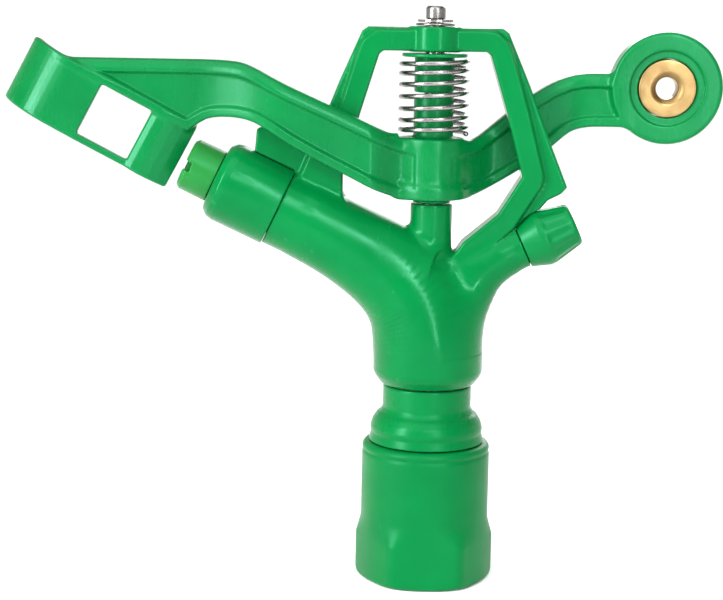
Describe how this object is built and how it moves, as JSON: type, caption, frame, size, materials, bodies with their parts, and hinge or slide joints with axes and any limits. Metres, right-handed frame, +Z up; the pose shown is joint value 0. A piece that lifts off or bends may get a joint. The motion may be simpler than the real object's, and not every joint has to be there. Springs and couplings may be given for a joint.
{
  "type": "impact sprinkler",
  "caption": "Plastic impact sprinkler: female-threaded inlet, turning head with main and rear nozzles, bridge, and a spring-returned drive arm with spoon and brass counterweight.",
  "frame": {"origin": "centre of the inlet's mouth, on the riser axis", "axes": "+Z up the riser axis, out of the riser pipe; the main barrel and the arm's spoon point towards -X, the counterweight is at +X, and the bridge lies in the XZ plane"},
  "size_m": [0.1773, 0.0322, 0.1432],
  "materials": {
    "socket_green": "glossy moulded acetal, satin on the wrench flats",
    "collar_green": "glossy moulded acetal",
    "bush_white": "satin turned low-friction plastic",
    "riser_rubber": "matt moulded rubber",
    "friction_rubber": "matt moulded rubber",
    "body_green": "glossy moulded acetal with softened edges",
    "stem_green": "glossy moulded acetal",
    "thrust_white": "satin low-friction plastic",
    "dust_rubber": "matt moulded rubber",
    "bearing_spring_steel": "bright drawn stainless wire",
    "straightener_white": "satin moulded plastic",
    "nozzle_rubber": "matt moulded rubber",
    "nut_green": "glossy moulded acetal",
    "tip_green": "glossy moulded plastic in a yellower green",
    "rear_green": "glossy moulded acetal",
    "pin_steel": "ground stainless rod",
    "arm_washer_green": "satin low-friction plastic",
    "adjuster_green": "glossy moulded acetal",
    "washer_steel": "pressed stainless washer",
    "clip_steel": "stamped spring steel",
    "spring_steel": "bright drawn stainless wire",
    "arm_green": "glossy moulded acetal with softened ribs",
    "lower_bush_white": "satin low-friction plastic",
    "upper_bush_white": "satin low-friction plastic",
    "weight_brass": "turned bright brass"
  },
  "bodies": {
    "inlet": {"inlet_socket": "socket_green", "bearing_collar": "collar_green", "bearing_bush": "bush_white", "riser_washer": "riser_rubber", "friction_washer": "friction_rubber"},
    "head": {"sprinkler_body": "body_green", "bearing_stem": "stem_green", "thrust_washer": "thrust_white", "dust_washer": "dust_rubber", "bearing_spring": "bearing_spring_steel", "stream_straightener": "straightener_white", "nozzle_seal": "nozzle_rubber", "nozzle_nut": "nut_green", "main_nozzle": "tip_green", "rear_nozzle": "rear_green", "fulcrum_pin": "pin_steel", "arm_washer": "arm_washer_green", "spring_adjuster": "adjuster_green", "pin_washer": "washer_steel", "pin_clip": "clip_steel", "arm_spring": "spring_steel"},
    "arm": {"drive_arm": "arm_green", "lower_arm_bush": "lower_bush_white", "upper_arm_bush": "upper_bush_white", "counterweight_insert": "weight_brass"}
  },
  "joints": [
    {"name": "head_turn", "type": "hinge", "parent": "inlet", "child": "head", "pos_m": [0, 0, 0.0494], "axis": [0, 0, 1], "continuous": true},
    {"name": "arm_swing", "type": "hinge", "parent": "head", "child": "arm", "pos_m": [0, 0, 0.0962], "axis": [0, 0, 1], "range_deg": [0, 130], "stiffness_Nm_per_rad": 0.012, "springref_deg": -40.11, "deforming": ["arm_spring"]}
  ]
}
